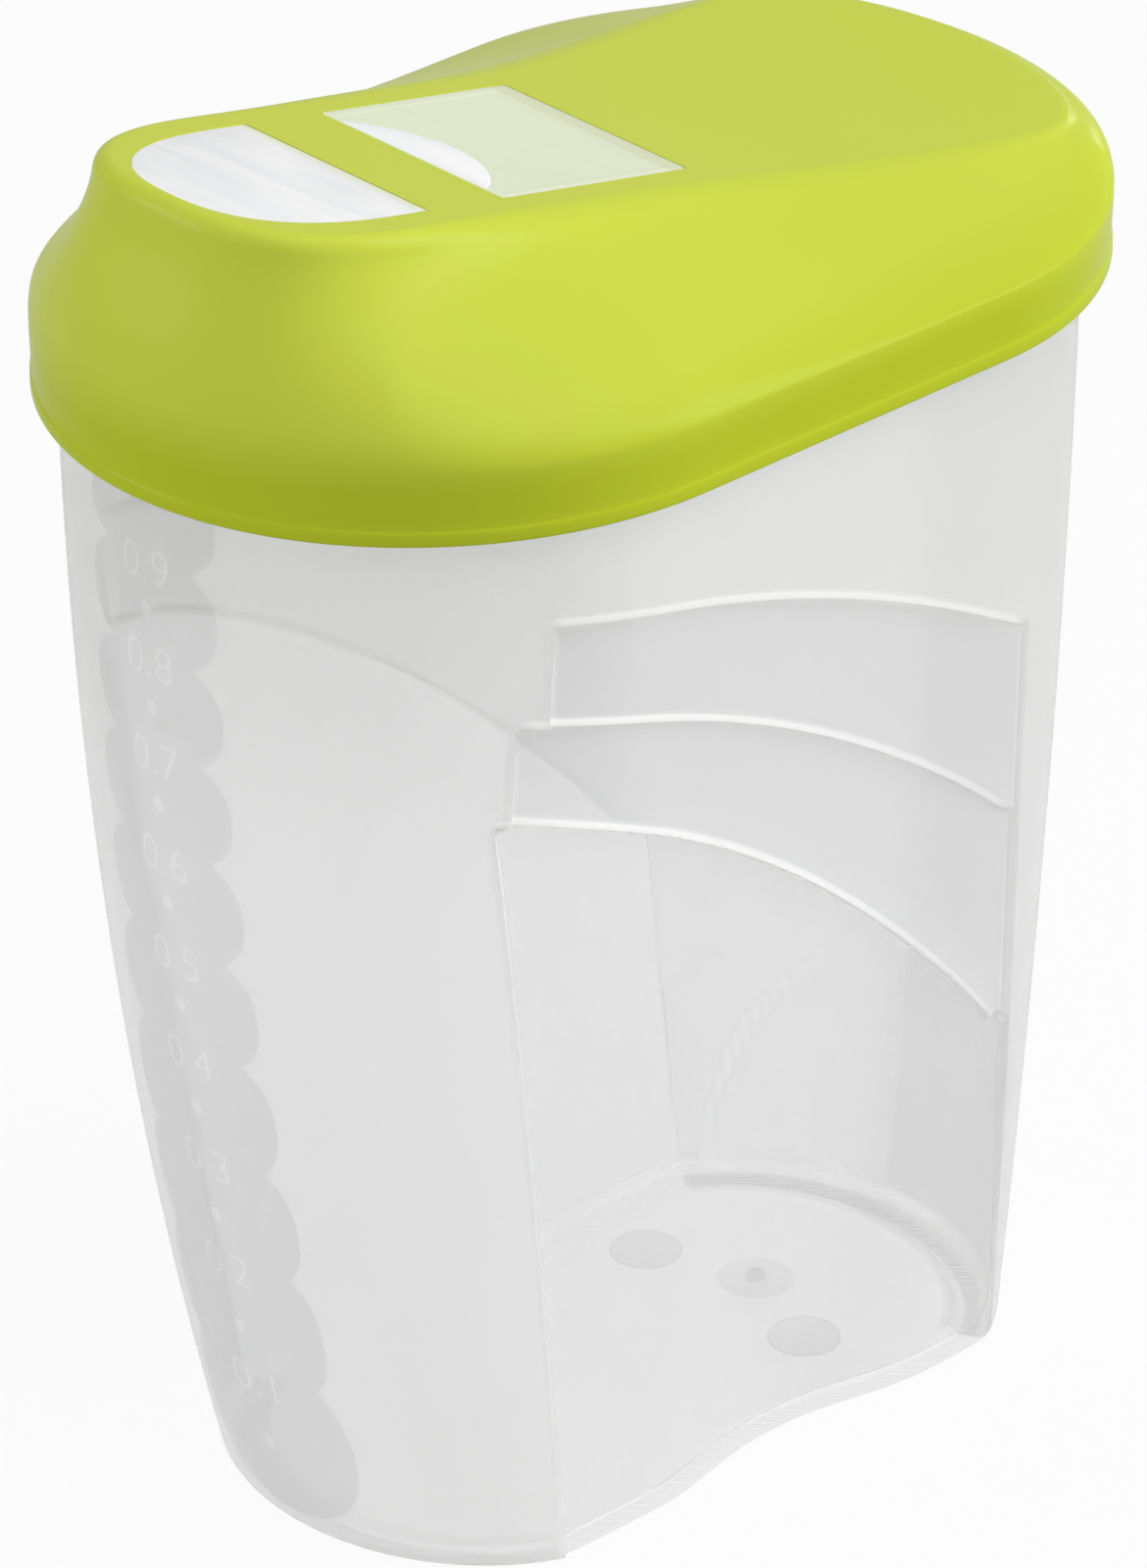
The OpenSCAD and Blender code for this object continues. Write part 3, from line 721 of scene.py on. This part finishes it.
def deck_gauge(x, y, inset):
    """1 on the deck's outline, and less inside it."""
    nose_y = NOSE + NOSE_BACK - HALF_L
    half = NOSE_HALF + 0.15 * (np.hypot(y - 5, 8) + y - 5) / 2 - inset
    tongue = power_mean(np.abs(x) / half, np.maximum(0, nose_y - y) / (NOSE - inset), 2.7)
    past = np.maximum(0, y - MIDS[1]) / (ENDS[1] - REAR_STRIP - inset)
    rim = np.where(y > MIDS[1], np.hypot(x / (HALF_W - REAR_STRIP - inset), past), 0)
    return power_mean(tongue, rim, 10)


def deck_z(y):
    rise = REAR_RISE * (np.maximum(0, y - RISE_FROM) / RISE_RUN) ** 2
    return BAR_Z - (y + BAR_Y) * math.tan(TILT) + rise


def deck_reach(inset):
    lo, hi = np.full(len(FAN), 1.0), np.full(len(FAN), 60.0)
    for _ in range(40):
        r = (lo + hi) / 2
        out = deck_gauge(r * COS, FAN[:, 0] + r * SIN, inset) > 1
        lo, hi = np.where(out, lo, r), np.where(out, r, hi)
    return (lo + hi) / 2


def on_ray(r, z):
    return np.stack([r * COS, FAN[:, 0] + r * SIN, z + 0 * r], -1)


def shoulder_rings(steps, inset=0.0, drop=0.0, edge=EDGE):
    """Rings from the skirt's top (0) to the deck's edge (1), then over the edge (2)."""
    r0, r1 = skirt_reach(inset), deck_reach(inset)
    r2 = r1 - edge
    z0 = SKIRT_TOP - drop * 0.7
    z1, z2 = (deck_z(FAN[:, 0] + r * SIN) - drop for r in (r1, r2))
    run, rise = r0 - r1, z1 - z0
    steep = np.clip(rise / run - 0.48, 0, 1)
    lift = np.minimum(1.2 + 10.2 * steep, rise * 0.8)
    backset, down = run * 0.24 * (1 - steep), rise * (0.26 + 0.03 * steep)
    rings = []
    for f in steps:
        g = min(f, 1) * 0.88
        h, e = 1 - g, max(0, f - 1)
        along = 3 * h * g * g * (run - backset) + g ** 3 * run
        up = 3 * h * h * g * lift + 3 * h * g * g * (rise - down) + g ** 3 * rise
        e0, e1, e2 = (1 - e) ** 2, 2 * e * (1 - e), e * e
        r = e0 * (r0 - along) + e1 * r1 + e2 * r2
        rings.append(on_ray(r, e0 * (z0 + up) + e1 * z1 + e2 * z2))
    return rings


def in_deck(points):
    """From the deck's frame at the bar (across, rearwards, out of the deck) to the row frame."""
    p = np.asarray(points, float)
    x, s, n = p[..., 0], p[..., 1], p[..., 2]
    y = -BAR_Y + s * math.cos(TILT) + n * math.sin(TILT)
    return np.stack([x, y, BAR_Z - s * math.sin(TILT) + n * math.cos(TILT)], -1)


def rounded_box(low, high, r, angles, corner_radius=None):
    """Outline of a box with round corners in a plane, from its upper right corner.

    corner_radius is the radius that is drawn around the centres that r sets.
    """
    q = r if corner_radius is None else corner_radius
    centres = ((high[0] - r, high[1] - r, 0), (low[0] + r, high[1] - r, 90),
               (low[0] + r, low[1] + r, 180), (high[0] - r, low[1] + r, 270))
    return [(a + q * math.cos(math.radians(start + turn)),
             b + q * math.sin(math.radians(start + turn)))
            for a, b, start in centres for turn in angles]


def pour_end(grow):
    """The round end of the pouring window, grown by grow."""
    half, reach = WINDOW_HALF + grow, POUR_FAR - POUR_ROUND + grow
    out = []
    for a in np.radians(np.linspace(0, 180, 61)):
        c, s = math.cos(a), abs(math.sin(a))
        c, s = (0 if v < 1e-9 else v for v in (abs(c), s))
        x = half * math.copysign(c ** ROUND_POWER, math.cos(a))
        out.append((x, -POUR_ROUND - reach * s ** ROUND_POWER))
    return out


def pour_outline(grow, edge=None):
    """The pouring window, grown by grow, with a straight edge beside the bar."""
    half, s = WINDOW_HALF + grow, -BAR_HALF + grow if edge is None else edge
    straight = [(lerp(-half, half, i / 20), s) for i in range(21)]
    between_ends = lerp(-POUR_ROUND, s, 0.5)
    return pour_end(grow) + [(-half, between_ends)] + straight + [(half, between_ends)]


def press_outline(grow):
    half, r = WINDOW_HALF + grow, 0.6 + max(grow, 0)
    box = rounded_box((-half, BAR_HALF - grow), (half, PRESS_FAR + grow), r, (0, 30, 60, 90))
    full = []
    for i, p in enumerate(box):
        q = box[(i + 1) % len(box)]
        n = 14 if i % 4 == 3 else 1
        full += [(lerp(p[0], q[0], k / n), lerp(p[1], q[1], k / n)) for k in range(n)]
    return full


def beside(loop, gap):
    """Points gap inside a closed outline, or outside it where gap is negative."""
    p = np.asarray(loop, float)
    along = np.roll(p, -1, 0) - np.roll(p, 1, 0)
    side = np.stack([-along[:, 1], along[:, 0]], -1) / np.hypot(along[:, 0], along[:, 1])[:, None]
    turn = np.sum(p[:, 0] * np.roll(p[:, 1], -1) - p[:, 1] * np.roll(p[:, 0], -1))
    return p + side * math.copysign(gap, turn * gap)


def deck_sheet(shell, ring, drop, holes):
    """The deck inside ring, with the windows left open, drop below the deck's surface."""
    loops = [[(float(p[0]), float(p[1])) for p in loop] for loop in (ring, *holes)]
    points, edges = [], []
    for loop in loops:
        s = len(points)
        points += loop
        edges += [(s + i, s + (i + 1) % len(loop)) for i in range(len(loop))]
    fixed = np.array(points)
    gx, gy = np.meshgrid(np.arange(-44, 44.1, 2.2), np.arange(-66, 68.1, 2.2))
    grid = np.stack([gx.ravel(), gy.ravel()], -1)
    grid = grid[inside(grid, loops[0])]
    for loop in loops[1:]:
        grid = grid[~inside(grid, loop)]
    near = np.sqrt(((grid[:, None] - fixed[None]) ** 2).sum(-1)).min(1)
    guard = np.concatenate([beside(loops[0], 0.35)] + [beside(loop, -0.2) for loop in loops[1:]])
    points += [tuple(map(float, p)) for p in np.concatenate([grid[near > 1.2], guard])]
    v, _, f, _, _, _ = delaunay_2d_cdt([Vector(p) for p in points], edges, [], 0, 1e-6)
    v = np.array([tuple(p) for p in v])
    f = [tuple(face) for face in f]
    middle = np.array([v[list(face)].mean(0) for face in f])
    keep = inside(middle, loops[0])
    for loop in loops[1:]:
        keep &= ~inside(middle, loop)
    s = shell.points(np.stack([v[:, 0], v[:, 1], deck_z(v[:, 1]) - drop], -1))
    shell.f += [tuple(s + i for i in face) for face, k in zip(f, keep) if k]


def below_deck(outline, drop):
    """An outline of the deck's frame as points drop below the deck."""
    return in_deck([(x, s, -drop) for x, s in outline])


def lid():
    shell = Shell()
    drop = LID_T / math.cos(TILT)
    outer_steps = list(np.linspace(0, 1, 34)) + list(np.linspace(1, 2, 9))[1:]
    curl = np.radians(np.linspace(0, 90, 6))
    skirt = [on_ray(skirt_reach(0.5 - 0.5 * math.sin(a)), SKIRT_Z + 0.5 - 0.5 * math.cos(a))
             for a in curl]
    skirt += [on_ray(skirt_reach(inset), SKIRT_Z + h) for h, inset in SKIRT_LINE]
    outer = mirrored(np.array(skirt + shoulder_rings(outer_steps)))
    bead = [on_ray(skirt_reach(inset), SKIRT_Z + h) for h, inset in BEAD_LINE]
    under = shoulder_rings(list(np.linspace(2, 0, 17)), LID_T, drop, INNER_EDGE)
    inner = mirrored(np.array(under + bead))
    shell.rings(np.concatenate([inner, outer]))
    # deck, with rounded window edges
    windows = (pour_outline, press_outline)
    deck_sheet(shell, outer[-1], 0, [below_deck(w(WINDOW_EDGE), 0)[:, :2] for w in windows])
    deck_sheet(shell, inner[0], drop, [below_deck(w(0), drop)[:, :2] for w in windows])
    for window in windows:
        rings = []
        for a in np.radians(np.linspace(0, 90, 5)):
            ring = below_deck(window(WINDOW_EDGE * (1 - math.sin(a))), 0)
            ring[:, 2] = deck_z(ring[:, 1]) - WINDOW_EDGE * (1 - math.cos(a))
            rings.append(ring)
        low = below_deck(window(0), drop)
        low[:, 2] = deck_z(low[:, 1]) - drop
        shell.rings(rings + [low])
    # ledge under the pouring window
    seat = []
    for p, q in zip(pour_end(1.4), pour_end(-1.3)):
        lip = lerp(np.array(q), np.array(p), 0.1)
        seat.append(in_deck([(*p, -1.5), (*p, -3.6), (*q, -3.6), (*q, -2.1), (*lip, -1.9)]))
    shell.rings(seat, first=True, last=True)
    # bearing cheeks with blind bores
    a = circle(7.5)
    reach = 1 / power_mean(np.abs(np.cos(a)) / 4, np.abs(np.sin(a)) / 2.55, 8)
    plate = np.stack([reach * np.cos(a), reach * np.sin(a) + CHEEK_MID], -1)
    bore = np.stack([BORE * np.cos(a), BORE * np.sin(a) + AXIS], -1)
    for side in (-1, 1):
        rings = [(CHEEK_OUT, plate * 0 + [0, CHEEK_MID]), (CHEEK_OUT, plate * [0.94, 1]),
                 (CHEEK_OUT - 0.2, plate), (CHEEK_IN + 0.2, plate),
                 (CHEEK_IN, plate * [0.94, 1]), (CHEEK_IN, bore), (BORE_END, bore),
                 (BORE_END, bore * 0 + [0, AXIS])]
        shell.rings([in_deck(np.column_stack([np.full(len(a), side * d), q]))
                     for d, q in rings])
    shell.build("lid_moulding", "lid", LIME, node="lid")


lid()

# ------------------------------------------------ flap
# In the deck's frame: the leaves' upper face, their thickness and the rounding of their edges
FACE, LEAF_T, LEAF_EDGE = -0.06, 1.2, 0.04
# The front leaf: its gap beside the window, its edge beside the bar and that edge's undercut
FRONT_GAP, FRONT_EDGE, UNDERCUT = 0.05, -5.88, math.radians(24)
# The rear leaf: half width, both ends and the corners' radius
REAR_HALF, REAR_LEAF, REAR_CORNER = 15.35, (5.9, 35.14), 0.62
# The half-moon pad: where it starts beside the bar, its radius and its circle's middle
PAD_START, PAD_RADIUS, PAD_MID = 6.05, 14.7, -1.7
# Half width of the webs between the leaves, and what keeps two webs' faces apart
ARM, APART = 13.4, 0.03
# Radius and half length of the axle and of its two ends
TRUNNIONS = ((1.5, 16.9), (1.1, 18.9))


def leaf(shell, outline_at, top, thickness, r, dish=None, **values):
    """A plate with rounded edges and, with dish = (width, depth), a raised border.

    outline_at(grow, height) is in the deck's frame.
    """
    rings, bottom = [], top - thickness
    if dish:
        width, depth = dish
        for k in (1, 0.75, 0.5, 0.25, 0):
            rings.append((-width - 0.5 * k, top - depth * float(soft(k))))
    for a in np.radians(np.linspace(90, 0, 5)):
        rings.append((-r * (1 - math.cos(a)), top - r * (1 - math.sin(a))))
    for a in np.radians(np.linspace(0, 90, 4)):
        rings.append((-r * (1 - math.cos(a)), bottom + r * (1 - math.sin(a))))
    rings = [in_deck([(x, s, n) for x, s in outline_at(grow, n)]) for grow, n in rings]
    count = (len(rings), len(rings[0]))
    values = {key: np.full(count, value) for key, value in values.items()}
    shell.rings(rings, first=True, last=True, **values)


def block(shell, half, s, n):
    """A web across the flap between two places s and two heights n of the deck's frame."""
    section = rounded_box((s[0], n[0]), (s[1], n[1]), 0.25, (0, 30, 60, 90))
    rings = [in_deck([(x, q, h) for q, h in section]) for x in (-half, half)]
    shell.rings(rings, first=True, last=True)


def front_leaf(grow, n):
    edge = FRONT_EDGE + grow - (FACE - n) * math.tan(UNDERCUT)
    return pour_outline(-FRONT_GAP + grow, edge=edge)


def rear_leaf(grow, n):
    s0, s1 = REAR_LEAF
    shift = grow + REAR_CORNER if grow < -REAR_CORNER else 0
    low, high = (-REAR_HALF - shift, s0 - shift), (REAR_HALF + shift, s1 + shift)
    radius = max(REAR_CORNER + grow, 0.05)
    return rounded_box(low, high, REAR_CORNER, range(0, 91, 15), radius)


def half_moon(grow, n):
    start, radius = PAD_START - grow, PAD_RADIUS + grow
    first = math.asin((start - PAD_MID) / radius)
    arc = [(radius * math.cos(a), radius * math.sin(a) + PAD_MID)
           for a in np.linspace(first, math.pi - first, 41)]
    x = arc[0][0]
    return arc + [(lerp(-x, x, i / 16), start) for i in range(1, 16)]


def flap():
    shell = Shell()
    leaf(shell, front_leaf, FACE, LEAF_T, LEAF_EDGE)
    block(shell, ARM, (-8.6, -7.4), (AXIS - 3, FACE - 0.3))
    block(shell, ARM - APART, (-8.6 + APART, 0.6 - APART), (AXIS - 3 + APART, AXIS - 1.8))
    block(shell, ARM, (-0.6, 0.6), (AXIS - 3, AXIS))
    for radius, reach in TRUNNIONS:
        profile = ((radius * 0.8, -reach), (radius, -reach + 0.25), (radius, reach - 0.25),
                   (radius * 0.8, reach))
        rings = [in_deck([(x, q * math.cos(b), q * math.sin(b) + AXIS) for b in circle(10)])
                 for q, x in profile]
        shell.rings(rings, first=True, last=True)
    # rear marks the rear leaf for its painted green reflected light
    leaf(shell, rear_leaf, FACE, LEAF_T, LEAF_EDGE, dish=(1.3, 0.06), rear=1.0)
    block(shell, ARM - APART, (0, 7.9 - APART), (-3.1 + APART, -1.9))
    block(shell, ARM, (6.7, 7.9), (-3.1, FACE - 0.3))
    leaf(shell, half_moon, -0.02, 0.44, 0.3, pad=1.0)
    shell.build("flap_rocker", "flap", MILKY, node="flap")


flap()

# ------------------------------------------------ floor, backdrop and light
FLOOR_COLOUR, FLOOR_GLOW, FLOOR_GLOSSY = 0.62, 0.93, 0.2
WORLD_LIGHT, WORLD_SEEN, WORLD_GLOSSY = 0.35, 0.65, 0.25


def seen_share(nodes, links, glossy):
    """1 for camera and transmission rays, glossy for glossy rays, and 0 for the rest."""
    path = nodes.new("ShaderNodeLightPath").outputs
    direct = calc(nodes, links, "MAXIMUM", path["Is Camera Ray"], path["Is Transmission Ray"])
    gloss = calc(nodes, links, "MULTIPLY", path["Is Glossy Ray"], glossy)
    return calc(nodes, links, "MAXIMUM", direct, gloss)


floor_mesh = bpy.data.meshes.new("floor")
floor_mesh.from_pydata([(-4, -4, 0), (4, -4, 0), (4, 4, 0), (-4, 4, 0)], [], [(0, 1, 2, 3)])
floor = bpy.data.objects.new("floor", floor_mesh)
scene.collection.objects.link(floor)
material, nodes, links, shader = new_material("pale_floor")
shader.inputs["Base Color"].default_value = (FLOOR_COLOUR, FLOOR_COLOUR, FLOOR_COLOUR, 1)
shader.inputs["Roughness"].default_value = 0.9
shader.inputs["Specular IOR Level"].default_value = 0.0
share = calc(nodes, links, "MULTIPLY", seen_share(nodes, links, FLOOR_GLOSSY), FLOOR_GLOW)
glow = nodes.new("ShaderNodeEmission")
glow.inputs["Strength"].default_value = 1.0
mix = nodes.new("ShaderNodeMixShader")
for source, socket in zip((share, shader.outputs[0], glow.outputs[0]), mix.inputs):
    links.new(source, socket)
links.new(mix.outputs[0], nodes["Material Output"].inputs["Surface"])
floor_mesh.materials.append(material)

world = bpy.data.worlds.new("world")
scene.world = world
world.use_nodes = True
nodes, links = world.node_tree.nodes, world.node_tree.links
background = nodes["Background"]
background.inputs["Color"].default_value = (1, 1, 1, 1)
share = seen_share(nodes, links, WORLD_GLOSSY)
strength = calc(nodes, links, "MULTIPLY_ADD", share, WORLD_SEEN, WORLD_LIGHT)
links.new(strength, background.inputs["Strength"])

# Place, aim, size in metres and power in watts
LAMPS = {
    "overhead": ((1.0, 0.1, 1.85), (0, 0, 0.1), (1.6, 1.6), 20),
    "right_softbox": ((1.3, 1.5, 1.1), (0, 0, 0.12), (1.2, 1.3), 25),
    "left_softbox": ((-1.2, -1.75, 0.6), (0, 0, 0.12), (1.1, 1.0), 17),
    "back_softbox": ((-0.7, 2.2, 0.55), (0, 0, 0.12), (0.5, 0.35), 2.5),
}
for name, (place, aim, size, power) in LAMPS.items():
    data = bpy.data.lights.new(name, "AREA")
    data.shape, data.size, data.size_y, data.energy = "RECTANGLE", size[0], size[1], power
    obj = bpy.data.objects.new(name, data)
    obj.location = place
    obj.rotation_euler = (Vector(aim) - Vector(place)).to_track_quat("-Z", "Y").to_euler()
    scene.collection.objects.link(obj)
